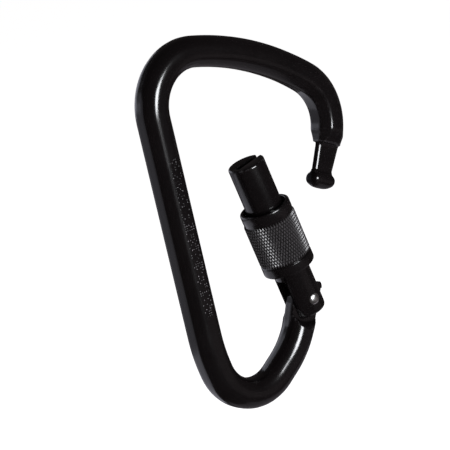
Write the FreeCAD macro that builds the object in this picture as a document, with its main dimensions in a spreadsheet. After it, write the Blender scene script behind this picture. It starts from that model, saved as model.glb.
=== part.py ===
import FreeCAD, Part
import math
import os

import Sketcher
from FreeCAD import Placement, Rotation, Vector

# Locking carabiner: a forged bar bent into a pear-shaped frame, a hinged barrel gate, a screw sleeve on the
# gate, a hinge rivet, and the spring and plunger that push the gate shut.
# Millimetres. +Z runs up along the straight spine, +X from the spine to the gate, -Y is the front face.
# The origin is the point inside the top bend where the rope bears. The gate stands fully open.

os.makedirs("parts", exist_ok=True)
doc = FreeCAD.newDocument("locking_carabiner")

DIMENSIONS = [
    # the bar and its centreline, followed from the nose over the top, down the spine and up to the hinge
    ("bar_half_width", 4.8), ("bar_thickness", 10.0), ("bar_chamfer", 2.6),
    ("nose_bend_radius", 16.45), ("nose_bend_turn", 78.1),
    ("top_arm_radius", 93.5), ("top_arm_turn", 27.3), ("rope_bend_radius", 16.3), ("rope_bend_turn", 101.9),
    ("spine_length", 67.35), ("spine_foot_radius", 53.5), ("spine_foot_turn", 13.1),
    ("basket_radius", 14.6), ("basket_turn", 109.6), ("lower_arm_length", 4.3), ("bar_stop", 5.0),
    # the nose that hooks into the gate
    ("neck_thickness", 2.1), ("neck_inner", 3.6), ("neck_root_outer", 5.0), ("neck_tip_outer", 3.6),
    ("neck_length", 11.25), ("neck_overlap", 1.0),
    ("bulb_radius", 2.75), ("bulb_inner", 3.5), ("bulb_outer", 3.6), ("bulb_edge", 0.4),
    ("nose_taper", 2.8), ("nose_face_inner", 4.1), ("nose_face_outer", 4.7), ("nose_face_front", 2.9),
    ("nose_face_bevel", 1.3),
    # the hinge end of the frame
    ("hinge_to_bend", 51.4), ("tang_thickness", 4.0), ("step_radius", 7.5), ("step_rim_radius", 9.4),
    ("cam_radius", 4.3), ("cam_offset", 1.3), ("cam_middle", 60.0), ("cam_end", 115.0),
    ("horn_top", 5.9), ("horn_outer", 5.5), ("horn_inner", 3.3), ("horn_foot", 1.0), ("horn_valley", 0.5),
    ("horn_round", 1.0), ("tang_root", 1.0),
    # the gate
    ("gate_radius", 5.85), ("gate_length", 48.1), ("gate_tail", 4.9), ("gate_tail_round", 1.5),
    ("gate_tip_round", 0.7), ("gate_opening", 39.5), ("fork_slot", 4.4), ("fork_slot_top", 9.0),
    ("nose_slot", 2.5), ("nose_slot_end", 3.95), ("nose_room", 6.0), ("nose_room_end", 4.5),
    ("nose_room_floor", 33.6), ("nose_room_top", 41.1), ("thread_radius", 6.4), ("thread_start", 13.5),
    ("thread_end", 32.0), ("spring_bore", 2.3), ("spring_bore_end", 26.0),
    # the locking sleeve
    ("sleeve_start", 11.3), ("sleeve_length", 21.6), ("sleeve_radius", 8.35), ("sleeve_ring_radius", 8.1),
    ("sleeve_ring_height", 2.7), ("sleeve_edge", 0.7), ("sleeve_ring_edge", 0.45), ("sleeve_mouth", 0.25),
    ("sleeve_ring_step", 0.1), ("sleeve_thread_bore", 6.48), ("sleeve_thread_length", 4.5),
    ("sleeve_bore", 6.95),
    # the hinge rivet
    ("rivet_radius", 1.7), ("rivet_head_radius", 2.05), ("rivet_seat", 5.4), ("rivet_head_height", 1.0),
    ("rivet_head_rise", 0.25), ("rivet_dome_share", 0.72), ("rivet_dome_drop", 0.26),
    ("rivet_clearance", 0.05),
    # the spring and its plunger
    ("plunger_radius", 2.12), ("plunger_length", 6.6), ("plunger_gap", 0.05), ("plunger_edge", 0.4),
    ("plunger_pilot_radius", 1.2), ("plunger_pilot_length", 3.0),
    ("spring_radius", 1.75), ("spring_wire", 0.28), ("spring_turns", 11.0), ("spring_gap", 0.05),
]

sheet = doc.addObject("Spreadsheet::Sheet", "Dims")
for row, (alias, value) in enumerate(DIMENSIONS, start=1):
    sheet.set(f"A{row}", alias)
    sheet.set(f"B{row}", str(value))
    sheet.setAlias(f"B{row}", alias)
doc.recompute()


def size(alias):
    """A driving dimension read back from the sheet."""
    return float(getattr(sheet, alias))


def bind(obj, prop, formula):
    """Ties a property to the sheet: names in the formula are the sheet's aliases."""
    for alias in sorted((name for name, _ in DIMENSIONS), key=len, reverse=True):
        formula = formula.replace("<" + alias + ">", "Dims." + alias)
    obj.setExpression(prop, formula)


# ---------------------------------------------------------------- the bar's centreline

def walk(steps, point, heading):
    """Follows straight runs and left turns. A span keeps its ends, its headings and, if bent, its centre."""
    spans = []
    for radius, amount in steps:
        start, start_heading = point, heading
        ahead = Vector(math.cos(heading), math.sin(heading), 0)
        left = Vector(-ahead.y, ahead.x, 0)
        if radius is None:
            centre = None
            point = start + ahead * amount
        else:
            centre = start + left * radius
            heading = start_heading + math.radians(amount)
            point = centre + Vector(math.sin(heading), -math.cos(heading), 0) * radius
        spans.append({"start": start, "end": point, "centre": centre, "radius": radius,
                      "from": start_heading, "to": heading})
    return spans


turns = ["nose_bend_turn", "top_arm_turn", "rope_bend_turn", "spine_foot_turn", "basket_turn"]
spine_heading = math.radians(-90)
nose_heading = spine_heading - math.radians(sum(size(name) for name in turns[:3]))
steps = [
    (size("nose_bend_radius"), size("nose_bend_turn")),
    (size("top_arm_radius"), size("top_arm_turn")),
    (size("rope_bend_radius"), size("rope_bend_turn")),
    (None, size("spine_length")),
    (size("spine_foot_radius"), size("spine_foot_turn")),
    (size("basket_radius"), size("basket_turn")),
    (None, size("lower_arm_length")),
]
first = walk(steps, Vector(0, 0, 0), nose_heading)
inner_rope_radius = size("rope_bend_radius") - size("bar_half_width")
shift = Vector(0, -inner_rope_radius, 0) - first[2]["centre"]

# The last bend brings the lower arm onto the line of the nose, where the hinge lies.
along_nose = Vector(math.cos(nose_heading), math.sin(nose_heading), 0)
beside_nose = Vector(-along_nose.y, along_nose.x, 0)
last_turn = 2 * math.pi - sum(math.radians(size(name)) for name in turns)
offset_from_nose_line = (first[-1]["end"]).dot(beside_nose)
hinge_bend_radius = offset_from_nose_line / (1 - math.cos(last_turn))
steps.append((hinge_bend_radius, math.degrees(last_turn)))
bar_end = shift
hinge = bar_end - along_nose * size("hinge_to_bend")
spans = walk(steps, bar_end, nose_heading)
steps.append((None, (hinge - spans[-1]["end"]).dot(along_nose) - size("bar_stop")))
spans = walk(steps, bar_end, nose_heading)


def edge_curve(span, side):
    """One side of a span of the bar: side is +1 for the inside of the loop and -1 for the outside."""
    reach = side * size("bar_half_width")

    def beside(point, heading):
        return point + Vector(-math.sin(heading), math.cos(heading), 0) * reach

    start = beside(span["start"], span["from"])
    end = beside(span["end"], span["to"])
    if span["centre"] is None:
        return Part.LineSegment(start, end)
    middle_heading = (span["from"] + span["to"]) / 2
    outward = Vector(math.sin(middle_heading), -math.cos(middle_heading), 0)
    middle = span["centre"] + outward * (span["radius"] - reach)
    return Part.Arc(start, middle, end)


# ---------------------------------------------------------------- places in the bar's plane

def in_nose(along, outward):
    """A point of the nose: along its line from the bar's end to the hinge, and outward across it."""
    return bar_end - along_nose * along - beside_nose * outward


def at_hinge(along, outward):
    """A point near the hinge: along the closed gate from the hinge, and outward across it."""
    return hinge + along_nose * along - beside_nose * outward


def in_space(point, depth=0.0):
    """A point of the bar's plane as a point in space."""
    return Vector(point.x, depth, point.y)


# ---------------------------------------------------------------- helpers for PartDesign bodies

def new_body(name):
    body = doc.addObject("PartDesign::Body", name)
    body.Label = name
    return body


def add_sketch(body, name, role, curves, offset=None):
    """A closed outline on one of the body's own origin planes, moved from it by offset if one is given."""
    sketch = body.newObject("Sketcher::SketchObject", name)
    plane = next(item for item in body.Origin.OriginFeatures if item.Role == role)
    sketch.AttachmentSupport = [(plane, "")]
    sketch.MapMode = "FlatFace"
    if offset:
        sketch.AttachmentOffset = offset
    sketch.addGeometry(curves, False)
    for index in range(len(curves)):
        join_ends(sketch, index, (index + 1) % len(curves))
    return sketch


def join_ends(sketch, one, other):
    """Ties the ends of two neighbouring curves that lie on each other. Vertex 1 is a start and 2 an end."""
    for end in (1, 2):
        for start in (1, 2):
            apart = sketch.getPoint(one, end).distanceToPoint(sketch.getPoint(other, start))
            if apart < 1e-6:
                sketch.addConstraint(Sketcher.Constraint("Coincident", one, end, other, start))


def closed_lines(points):
    corners = [Vector(point[0], point[1], 0) for point in points]
    return [Part.LineSegment(a, b) for a, b in zip(corners, corners[1:] + corners[:1])]


def extrude(body, kind, name, sketch, formula):
    """A Pad or a Pocket to both sides of its sketch."""
    feature = body.newObject("PartDesign::" + kind, name)
    feature.Profile = sketch
    feature.SideType = "Symmetric"
    bind(feature, "Length", formula)
    doc.recompute()
    return feature


def turn_profile(body, name, points):
    """A solid of revolution about the body's own Z axis, from points of radius and height."""
    sketch = add_sketch(body, name + "_profile", "XZ_Plane", closed_lines(points))
    feature = body.newObject("PartDesign::Revolution", name)
    feature.Profile = sketch
    feature.ReferenceAxis = (sketch, ["V_Axis"])
    feature.Angle = 360
    doc.recompute()
    return feature


def cut_cylinder(body, name, radius, height, start, direction):
    """A round hole that starts at a point and runs in a direction. Radius and height are formulas."""
    feature = body.newObject("PartDesign::SubtractiveCylinder", name)
    bind(feature, "Radius", radius)
    bind(feature, "Height", height)
    feature.Placement = Placement(start, Rotation(Vector(0, 0, 1), direction))
    doc.recompute()
    return feature


def dress(body, kind, name, base, test, formula):
    """A fillet or chamfer on the edges of the base feature that pass a test."""
    feature = body.newObject("PartDesign::" + kind, name)
    edges = [f"Edge{index}" for index, edge in enumerate(base.Shape.Edges, start=1) if test(edge)]
    feature.Base = (base, edges)
    bind(feature, "Radius" if kind == "Fillet" else "Size", formula)
    doc.recompute()
    return feature


def middle_of(edge):
    return edge.valueAt((edge.FirstParameter + edge.LastParameter) / 2)


# ---------------------------------------------------------------- frame

def bar_outline():
    inside = [edge_curve(span, +1) for span in spans]
    outside = [edge_curve(span, -1) for span in reversed(spans)]
    hinge_end = Part.LineSegment(inside[-1].EndPoint, outside[0].EndPoint)
    nose_end = Part.LineSegment(outside[-1].StartPoint, inside[0].StartPoint)
    return inside + [hinge_end] + outside + [nose_end], [hinge_end.toShape(), nose_end.toShape()]


def eight_sides(inner, outer, front, bevel):
    """The bar's section across the nose line: X runs outward and Y runs to the back."""
    return closed_lines([
        (-inner, -(front - bevel)), (-(inner - bevel), -front),
        (outer - bevel, -front), (outer, -(front - bevel)),
        (outer, front - bevel), (outer - bevel, front),
        (-(inner - bevel), front), (-inner, front - bevel),
    ])


def across_nose(along):
    """Turns a sketch on the XZ plane to stand across the nose line, so far along it from the bar's end."""
    outward = Vector(-beside_nose.x, -beside_nose.y, 0)
    return Placement(in_nose(along, 0), Rotation(outward, Vector(0, 0, 1), along_nose * -1, "XYZ"))


def make_frame():
    body = new_body("frame")
    half = size("bar_half_width")
    front = size("bar_thickness") / 2
    outline, end_lines = bar_outline()
    sketch = add_sketch(body, "bar_outline", "XZ_Plane", outline)
    bar = extrude(body, "Pad", "bar", sketch, "<bar_thickness>")

    def long_edge(edge):
        middle = middle_of(edge)
        at_end = any(line.distToShape(Part.Vertex(middle.x, middle.z, 0))[0] < 1e-3 for line in end_lines)
        return abs(abs(middle.y) - front) < 1e-3 and not at_end

    dress(body, "Chamfer", "bar_bevels", bar, long_edge, "<bar_chamfer>")

    # The last stretch of the nose narrows to a smaller face.
    root = add_sketch(body, "taper_root", "XZ_Plane", eight_sides(half, half, front, size("bar_chamfer")),
                      across_nose(0))
    face_curves = eight_sides(size("nose_face_inner"), size("nose_face_outer"), size("nose_face_front"),
                              size("nose_face_bevel"))
    face = add_sketch(body, "taper_face", "XZ_Plane", face_curves, across_nose(size("nose_taper")))
    taper = body.newObject("PartDesign::AdditiveLoft", "nose_taper_loft")
    taper.Profile = root
    taper.Sections = [face]
    taper.Ruled = True
    doc.recompute()

    # The neck is a thin plate, and the round bulb across its end is what the gate holds.
    neck_start = size("nose_taper") - size("neck_overlap")
    bulb_axis = size("nose_taper") + size("neck_length")
    neck = [in_nose(neck_start, -size("neck_inner")), in_nose(bulb_axis, -size("neck_inner")),
            in_nose(bulb_axis, size("neck_tip_outer")), in_nose(neck_start, size("neck_root_outer"))]
    extrude(body, "Pad", "neck", add_sketch(body, "neck_outline", "XZ_Plane", closed_lines(neck)),
            "<neck_thickness>")
    bulb = body.newObject("PartDesign::AdditiveCylinder", "bulb")
    bind(bulb, "Radius", "<bulb_radius>")
    bind(bulb, "Height", "<bulb_inner> + <bulb_outer>")
    outward = Vector(-beside_nose.x, 0, -beside_nose.y)
    bulb.Placement = Placement(in_space(in_nose(bulb_axis, -size("bulb_inner"))),
                               Rotation(Vector(0, 0, 1), outward))
    doc.recompute()
    bulb_ends = [in_space(in_nose(bulb_axis, reach)) for reach in (-size("bulb_inner"), size("bulb_outer"))]

    def bulb_rim(edge):
        middle = middle_of(edge)
        near_axis = min(middle.distanceToPoint(end) for end in bulb_ends)
        return abs(near_axis - size("bulb_radius")) < 1e-3 and len(edge.Vertexes) <= 2

    dress(body, "Chamfer", "bulb_edges", bulb, bulb_rim, "<bulb_edge>")

    # Front and back of the hinge end are cut away about the hinge, so that the gate's cheeks can swing.
    for name, facing in (("front_step", -1), ("back_step", 1)):
        step = body.newObject("PartDesign::SubtractiveCone", name)
        bind(step, "Radius1", "<step_radius>")
        bind(step, "Radius2", "<step_rim_radius>")
        bind(step, "Height", "(<bar_thickness> - <tang_thickness>) / 2 + 0.01")
        start = in_space(hinge, facing * size("tang_thickness") / 2)
        step.Placement = Placement(start, Rotation(Vector(0, 0, 1), Vector(0, facing, 0)))
        doc.recompute()

    # The tang carries the hinge. Its inner corner is a cam for the plunger, and its outer corner is a horn.
    cam_turn = math.radians(size("gate_opening")) / 2
    cam_along = -size("cam_offset") * math.sin(cam_turn)
    cam_outward = -size("cam_offset") * math.cos(cam_turn)
    cam = size("cam_radius")

    def on_cam(degrees):
        """A point of the cam: 0 degrees is towards the nose and 90 is inward."""
        angle = math.radians(degrees)
        return at_hinge(cam_along + cam * math.cos(angle), cam_outward - cam * math.sin(angle))

    horn_top, horn_outer, horn_inner = size("horn_top"), size("horn_outer"), size("horn_inner")
    root_along = -size("step_rim_radius") - size("tang_root")
    tang_points = {
        "foot_in": at_hinge(root_along, -half), "foot_out": at_hinge(root_along, half),
        "horn_out": at_hinge(horn_top, horn_outer), "horn_in": at_hinge(horn_top, horn_inner),
        "horn_low": at_hinge(size("horn_foot"), horn_outer),
        "valley": at_hinge(cam_along + cam, horn_inner - size("horn_valley")),
    }
    cam_end = on_cam(size("cam_end"))
    cam_arc = Part.Arc(cam_end, on_cam(size("cam_middle")), on_cam(0))
    corners = ("valley", "horn_in", "horn_out", "horn_low", "foot_out", "foot_in")
    route = [tang_points[name] for name in corners]
    tang_curves = [cam_arc, Part.LineSegment(on_cam(0), route[0])]
    tang_curves += [Part.LineSegment(a, b) for a, b in zip(route, route[1:])]
    tang_curves.append(Part.LineSegment(route[-1], cam_end))
    tang = extrude(body, "Pad", "tang", add_sketch(body, "tang_outline", "XZ_Plane", tang_curves),
                   "<tang_thickness>")
    corners = [in_space(tang_points[name]) for name in ("horn_out", "horn_in", "valley")]

    def horn_corner(edge):
        middle = middle_of(edge)
        return any(middle.distanceToPoint(corner) < 1e-3 for corner in corners)

    dress(body, "Fillet", "horn_rounding", tang, horn_corner, "<horn_round>")
    cut_cylinder(body, "hinge_hole", "<rivet_radius> + <rivet_clearance>", "<bar_thickness>",
                 in_space(hinge, -front), Vector(0, 1, 0))
    return body


# ---------------------------------------------------------------- gate

open_turn = math.degrees(math.pi / 2 - nose_heading) % 360 - size("gate_opening")
open_gate = Placement(in_space(hinge), Rotation(Vector(0, 1, 0), open_turn))


def box_outline(low_x, high_x, low_z, high_z):
    return closed_lines([(low_x, low_z), (high_x, low_z), (high_x, high_z), (low_x, high_z)])


def make_gate():
    """The barrel stands on its own hinge: Z runs from the hinge to the tip, and X is outward."""
    body = new_body("gate")
    radius, tail, tip = size("gate_radius"), size("gate_tail"), size("gate_length")
    crest = size("thread_radius")
    lead = crest - radius
    start, end = size("thread_start"), size("thread_end")
    barrel = turn_profile(body, "barrel", [
        (0, -tail), (radius, -tail), (radius, start), (crest, start + lead),
        (crest, end - lead), (radius, end), (radius, tip), (0, tip),
    ])
    beyond = 2 * radius
    round_tip = dress(body, "Fillet", "tip_rounding", barrel,
                      lambda edge: abs(middle_of(edge).z - tip) < 1e-3, "<gate_tip_round>")
    dress(body, "Fillet", "tail_rounding", round_tip,
          lambda edge: abs(middle_of(edge).z + tail) < 1e-3, "<gate_tail_round>")
    room_floor, room_top = size("nose_room_floor"), size("nose_room_top")
    cuts = [
        ("nose_slot_cut", (-size("nose_slot_end"), beyond, room_top - 1, tip + 1), "<nose_slot>"),
        ("nose_room_cut", (-size("nose_room_end"), beyond, room_floor, room_top), "<nose_room>"),
        ("fork_cut", (-beyond, beyond, -tail - 1, size("fork_slot_top")), "<fork_slot>"),
    ]
    for name, limits, width in cuts:
        sketch = add_sketch(body, name + "_outline", "XZ_Plane", box_outline(*limits))
        extrude(body, "Pocket", name, sketch, width)
    up, back = Vector(0, 0, 1), Vector(0, 1, 0)
    cut_cylinder(body, "spring_bore_cut", "<spring_bore>", "<spring_bore_end> - <fork_slot_top> + 1",
                 Vector(0, 0, size("fork_slot_top") - 1), up)
    cut_cylinder(body, "rivet_hole", "<rivet_radius>", "4 * <gate_radius>", back * (-2 * radius), back)
    for name, facing in (("front_seat", -1), ("back_seat", 1)):
        seat = back * (facing * size("rivet_seat"))
        cut_cylinder(body, name, "<rivet_head_radius>", "<gate_radius>", seat, back * facing)
    body.Placement = open_gate
    return body


# ---------------------------------------------------------------- locking sleeve

def make_sleeve():
    body = new_body("locking_sleeve")
    low = size("sleeve_start")
    high = low + size("sleeve_length")
    outer, edge = size("sleeve_radius"), size("sleeve_edge")
    ring, ring_edge, mouth = size("sleeve_ring_radius"), size("sleeve_ring_edge"), size("sleeve_mouth")
    thread_bore, bore = size("sleeve_thread_bore"), size("sleeve_bore")
    thread_top = low + size("sleeve_thread_length")
    ring_foot = high - size("sleeve_ring_height")
    ring_step = size("sleeve_ring_step")
    turn_profile(body, "sleeve", [
        (thread_bore, low), (outer - edge, low), (outer, low + edge), (outer, ring_foot),
        (ring, ring_foot + ring_step), (ring, high - ring_edge), (ring - ring_edge, high),
        (bore + mouth, high), (bore, high - mouth),
        (bore, thread_top + bore - thread_bore), (thread_bore, thread_top),
    ])
    body.Placement = open_gate
    return body


# ---------------------------------------------------------------- hinge rivet

def make_rivet():
    """The shaft lies along its own Z with a dome at each end, and is placed across the gate."""
    body = new_body("hinge_rivet")
    shaft, head, seat = size("rivet_radius"), size("rivet_head_radius"), size("rivet_seat")
    crown = seat + size("rivet_head_height")
    rise = size("rivet_head_rise")
    side, drop = head * size("rivet_dome_share"), size("rivet_dome_drop")
    line = Part.LineSegment
    corner = [Vector(x, y, 0) for x, y in (
        (head, -seat - rise), (head, -seat), (shaft, -seat), (shaft, seat), (head, seat), (head, seat + rise))]
    lower_dome = Part.Arc(Vector(0, -crown, 0), Vector(side, -crown + drop, 0), corner[0])
    upper_dome = Part.Arc(Vector(0, crown, 0), Vector(side, crown - drop, 0), corner[-1])
    sides = [line(a, b) for a, b in zip(corner, corner[1:])]
    axis = line(Vector(0, crown, 0), Vector(0, -crown, 0))
    sketch = add_sketch(body, "rivet_profile", "XZ_Plane", [lower_dome] + sides + [upper_dome, axis])
    rivet = body.newObject("PartDesign::Revolution", "rivet")
    rivet.Profile = sketch
    rivet.ReferenceAxis = (sketch, ["V_Axis"])
    rivet.Angle = 360
    doc.recompute()
    body.Placement = Placement(in_space(hinge), Rotation(Vector(1, 0, 0), -90))
    return body


# ---------------------------------------------------------------- plunger and spring

cam_lift = size("cam_radius") + size("cam_offset") * math.sin(math.radians(size("gate_opening")) / 2)
plunger_foot = cam_lift + size("plunger_gap")


def make_plunger():
    body = new_body("plunger")
    radius, edge = size("plunger_radius"), size("plunger_edge")
    head_top = plunger_foot + size("plunger_length")
    pilot = size("plunger_pilot_radius")
    turn_profile(body, "plunger_pin", [
        (0, plunger_foot), (radius - edge, plunger_foot), (radius, plunger_foot + edge), (radius, head_top),
        (pilot, head_top), (pilot, head_top + size("plunger_pilot_length")),
        (0, head_top + size("plunger_pilot_length")),
    ])
    body.Placement = open_gate
    return body


def make_spring():
    """A coil between the plunger's shoulder and the floor of the spring bore."""
    clear = size("spring_wire") + size("spring_gap")
    foot = plunger_foot + size("plunger_length") + clear
    helix = doc.addObject("Part::Helix", "spring_path")
    bind(helix, "Radius", "<spring_radius>")
    helix.Height = size("spring_bore_end") - clear - foot
    bind(helix, "Pitch", f"{helix.Height.Value} / <spring_turns>")
    helix.Placement.Base = Vector(0, 0, foot)
    wire = doc.addObject("Part::Circle", "spring_section")
    bind(wire, "Radius", "<spring_wire>")
    wire.Placement = Placement(Vector(size("spring_radius"), 0, foot), Rotation(Vector(1, 0, 0), 90))
    spring = doc.addObject("Part::Sweep", "gate_spring")
    spring.Sections = [wire]
    spring.Spine = (helix, [])
    spring.Solid = True
    spring.Frenet = True
    spring.Label = "gate_spring"
    doc.recompute()
    spring.Placement = open_gate
    return spring


# ---------------------------------------------------------------- build, check and write

sub_parts = [make_frame(), make_gate(), make_sleeve(), make_rivet(), make_plunger(), make_spring()]
doc.recompute()

for item in doc.Objects:
    if "Invalid" in item.State or "Error" in item.State:
        raise SystemExit(f"{item.Name} failed: {item.State}")
for part in sub_parts:
    if part.Shape.isNull() or not part.Shape.isValid() or len(part.Shape.Solids) != 1:
        raise SystemExit(f"{part.Label} is not one valid solid")
    part.Shape.exportStep(f"parts/{part.Label}.step")
    print(f"{part.Label}: {part.Shape.Volume:.1f} mm3, {len(part.Shape.Faces)} faces")
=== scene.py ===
import math

import bmesh
import bpy
from mathutils import Matrix, Vector


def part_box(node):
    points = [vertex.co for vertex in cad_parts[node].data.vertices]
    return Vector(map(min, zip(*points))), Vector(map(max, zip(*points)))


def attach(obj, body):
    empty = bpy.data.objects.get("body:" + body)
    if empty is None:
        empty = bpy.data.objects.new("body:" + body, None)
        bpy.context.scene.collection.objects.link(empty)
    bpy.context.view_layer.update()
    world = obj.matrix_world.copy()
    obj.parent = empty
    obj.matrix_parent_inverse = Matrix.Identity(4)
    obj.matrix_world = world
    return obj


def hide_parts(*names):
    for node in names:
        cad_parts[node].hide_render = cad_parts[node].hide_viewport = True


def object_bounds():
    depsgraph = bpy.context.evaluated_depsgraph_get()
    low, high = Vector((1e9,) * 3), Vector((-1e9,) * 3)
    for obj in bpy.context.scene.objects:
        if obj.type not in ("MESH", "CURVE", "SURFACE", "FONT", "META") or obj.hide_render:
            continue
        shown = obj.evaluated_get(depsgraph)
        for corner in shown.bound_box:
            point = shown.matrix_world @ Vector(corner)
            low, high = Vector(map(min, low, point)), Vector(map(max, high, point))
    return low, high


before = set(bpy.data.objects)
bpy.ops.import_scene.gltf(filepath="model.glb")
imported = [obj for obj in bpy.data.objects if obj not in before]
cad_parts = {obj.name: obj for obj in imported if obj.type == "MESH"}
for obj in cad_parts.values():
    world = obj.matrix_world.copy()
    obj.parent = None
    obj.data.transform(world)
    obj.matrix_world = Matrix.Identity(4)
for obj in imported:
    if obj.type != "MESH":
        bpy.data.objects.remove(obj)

# Locking carabiner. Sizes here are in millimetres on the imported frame's axes, unless a comment
# says metres: +Z runs up the spine, +X from the spine to the gate, and -Y is the front face.
# Meshes are written in metres.

MM = 0.001
cad_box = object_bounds()


def middle_of_box(node):
    low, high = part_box(node)
    return (Vector(low) + Vector(high)) / 2 / MM


# ------------------------------------------------------------------ camera, lights and floor

LOOK_POINT = Vector((5.13, 5.92, -50.87))
CAMERA_PLACE = Vector((-395.29, -528.12, 97.63))
CAMERA_UP = Vector((0.30908, 0.03442, 0.95041))
CAMERA_LENS = 178.3
FLOOR_DROP = 95.0
FLOOR_HALF_WIDTH = 12.0                     # metres
FLOOR_GLOW = 0.96
WHITE = (1.0, 1.0, 1.0, 1.0)
ROOM_COLOUR = (1.0, 0.86, 0.88, 1.0)
ROOM_STRENGTH = 0.038

# Soft boxes: name, azimuth and elevation in degrees, distance, width and height in metres,
# radiance and colour.
PANELS = [
    ("key_panel", -90, 9, 0.8, 0.34, 0.28, 28.0, (0.95, 0.97, 1.0)),
    ("back_panel", 120, 0, 0.9, 1.2, 0.8, 0.35, (0.88, 0.88, 1.0)),
    ("back_near_panel", 92, 19, 0.300, 0.22, 0.19, 0.95, (0.86, 0.88, 1.0)),
    ("back_side_panel", 119, 15, 0.306, 0.11, 0.05, 0.85, (0.86, 0.88, 1.0)),
    ("back_low_panel", 110, -35, 0.9, 1.1, 0.38, 0.75, (0.88, 0.88, 1.0)),
    ("under_panel", 20, -60, 0.6, 0.7, 0.6, 0.20, (0.95, 0.90, 1.0)),
    ("low_front_panel", -50, -24, 0.45, 0.35, 0.17, 0.09, (1.0, 0.88, 0.89)),
]


def aim(obj, place, target, up):
    """Stands an object at a place with its -Z axis towards the target."""
    back = (place - target).normalized()
    right = up.cross(back).normalized()
    turn = Matrix((right, back.cross(right), back)).transposed().to_4x4()
    obj.matrix_world = Matrix.Translation(place * MM) @ turn


def add_camera():
    camera = bpy.data.objects.new("camera", bpy.data.cameras.new("camera"))
    camera.data.lens = CAMERA_LENS
    camera.data.sensor_width = 36.0
    camera.data.clip_start = 0.01
    camera.data.clip_end = 50.0
    bpy.context.scene.collection.objects.link(camera)
    aim(camera, CAMERA_PLACE, LOOK_POINT, CAMERA_UP)
    bpy.context.scene.camera = camera


def towards(azimuth, elevation):
    """A unit vector that points from the object out to this azimuth and elevation in degrees."""
    a, e = math.radians(azimuth), math.radians(elevation)
    return Vector((math.cos(a) * math.cos(e), math.sin(a) * math.cos(e), math.sin(e)))


def add_panel(name, azimuth, elevation, distance, width, height, radiance, colour):
    """A soft box that faces the object. Radiance is how bright its face looks."""
    light = bpy.data.lights.new(name, "AREA")
    light.shape = "RECTANGLE"
    light.size, light.size_y = width, height
    light.energy = radiance * math.pi * width * height
    light.color = colour
    panel = bpy.data.objects.new(name, light)
    bpy.context.scene.collection.objects.link(panel)
    place = LOOK_POINT + towards(azimuth, elevation) * distance / MM
    aim(panel, place, LOOK_POINT, Vector((0, 0, 1)))
    panel.visible_camera = False


def add_world():
    """Pale all round to the camera, and a dim warm room to everything else."""
    world = bpy.data.worlds.new("studio")
    bpy.context.scene.world = world
    world.use_nodes = True
    nodes, links = world.node_tree.nodes, world.node_tree.links
    nodes.clear()
    seen, room = nodes.new("ShaderNodeBackground"), nodes.new("ShaderNodeBackground")
    seen.inputs["Color"].default_value = WHITE
    room.inputs["Color"].default_value = ROOM_COLOUR
    room.inputs["Strength"].default_value = ROOM_STRENGTH
    path, mix = nodes.new("ShaderNodeLightPath"), nodes.new("ShaderNodeMixShader")
    out = nodes.new("ShaderNodeOutputWorld")
    links.new(path.outputs["Is Camera Ray"], mix.inputs[0])
    links.new(room.outputs[0], mix.inputs[1])
    links.new(seen.outputs[0], mix.inputs[2])
    links.new(mix.outputs[0], out.inputs["Surface"])


# ------------------------------------------------------------------ node helpers

def new_group(name, inputs, outputs):
    """A shader node group. Inputs are (name, default), a vector where the default is None.
    Outputs are the names of values."""
    tree = bpy.data.node_groups.new(name, "ShaderNodeTree")
    for label, default in inputs:
        kind = "NodeSocketVector" if default is None else "NodeSocketFloat"
        socket = tree.interface.new_socket(label, in_out="INPUT", socket_type=kind)
        if default is not None:
            socket.default_value = default
    for label in outputs:
        tree.interface.new_socket(label, in_out="OUTPUT", socket_type="NodeSocketFloat")
    return tree, tree.nodes.new("NodeGroupInput"), tree.nodes.new("NodeGroupOutput")


def math_node(tree, operation, one, other, clamp=False):
    node = tree.nodes.new("ShaderNodeMath")
    node.operation = operation
    node.use_clamp = clamp
    for socket, value in zip(node.inputs, (one, other)):
        if isinstance(value, (int, float)):
            socket.default_value = value
        else:
            tree.links.new(value, socket)
    return node.outputs[0]


def noise_node(tree, vector, scale, detail, roughness=0.5):
    node = tree.nodes.new("ShaderNodeTexNoise")
    tree.links.new(vector, node.inputs["Vector"])
    node.inputs["Detail"].default_value = detail
    node.inputs["Roughness"].default_value = roughness
    if isinstance(scale, (int, float)):
        node.inputs["Scale"].default_value = scale
    else:
        tree.links.new(scale, node.inputs["Scale"])
    return node.outputs["Fac"]


def ramp_between(tree, value, low, high):
    """0 below low, 1 above high, and smooth between them."""
    node = tree.nodes.new("ShaderNodeMapRange")
    node.interpolation_type = "SMOOTHSTEP"
    tree.links.new(value, node.inputs["Value"])
    node.inputs["From Min"].default_value = low
    node.inputs["From Max"].default_value = high
    return node.outputs["Result"]


# ------------------------------------------------------------------ shared effects

def make_satin_grain():
    """Fine blasted grain under the anodising, with slow cloudy changes of tone."""
    tree, given, out = new_group(
        "satin_grain", [("Vector", None), ("Grain Scale", 9000.0), ("Cloud Scale", 160.0)],
        ["Height", "Cloud"])
    fine = noise_node(tree, given.outputs["Vector"], given.outputs["Grain Scale"], detail=2.0)
    cloud = noise_node(tree, given.outputs["Vector"], given.outputs["Cloud Scale"], detail=4.0)
    tree.links.new(fine, out.inputs["Height"])
    tree.links.new(cloud, out.inputs["Cloud"])
    return tree


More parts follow.
